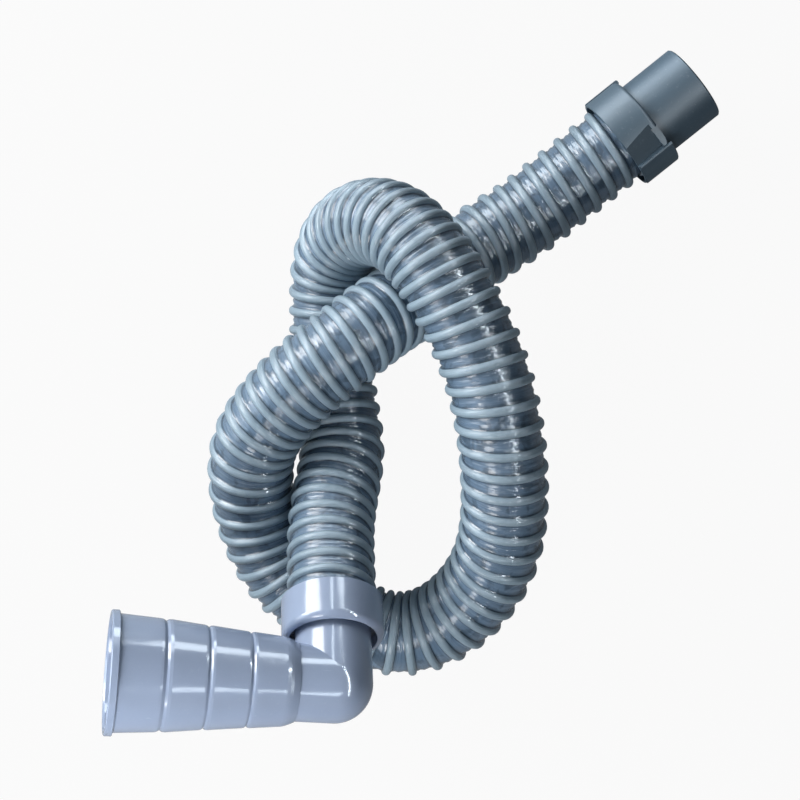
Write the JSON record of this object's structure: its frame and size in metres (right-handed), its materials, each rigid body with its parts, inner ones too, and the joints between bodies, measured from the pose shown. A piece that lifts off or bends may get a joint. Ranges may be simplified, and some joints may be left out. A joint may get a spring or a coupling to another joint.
{
  "type": "sewer hose kit",
  "caption": "Ribbed drain hose knotted loosely, with a swivel elbow and stepped boot on one end and a spigot with a bayonet locking ring on the other.",
  "frame": {"origin": "on the floor, under the middle of the bounding box of the two end fittings (the hose left out)", "axes": "+Z up from the floor the kit lies on; +Y from the elbow end towards the spigot end of the kit, along the longer side of the fittings' footprint; +X to the right, seen from above with +Y up"},
  "size_m": [0.6471, 0.7103, 0.326],
  "materials": {
    "hose_vinyl": "gloss",
    "fitting_grey": "gloss",
    "adapter_grey": "gloss",
    "ring_grey": "satin",
    "seal_rubber": "matte",
    "retainer_grey": "matte"
  },
  "bodies": {
    "hose_body": {"hose": "hose_vinyl", "cuff": "fitting_grey", "retainer": "retainer_grey", "adapter": "adapter_grey", "adapter_gasket": "seal_rubber"},
    "elbow_body": {"elbow": "fitting_grey", "swivel_oring": "seal_rubber", "boot": "fitting_grey", "boot_oring": "seal_rubber"},
    "ring_body": {"locking_ring": "ring_grey"}
  },
  "joints": [
    {"name": "elbow_swivel", "type": "hinge", "parent": "hose_body", "child": "elbow_body", "pos_m": [-0.09436, -0.25227, 0.1806], "axis": [0.0429, -0.818, 0.5736], "continuous": true},
    {"name": "ring_turn", "type": "hinge", "parent": "hose_body", "child": "ring_body", "pos_m": [0.22872, 0.26532, 0.05479], "axis": [0.7815, 0.6217, 0.0523], "continuous": true}
  ]
}
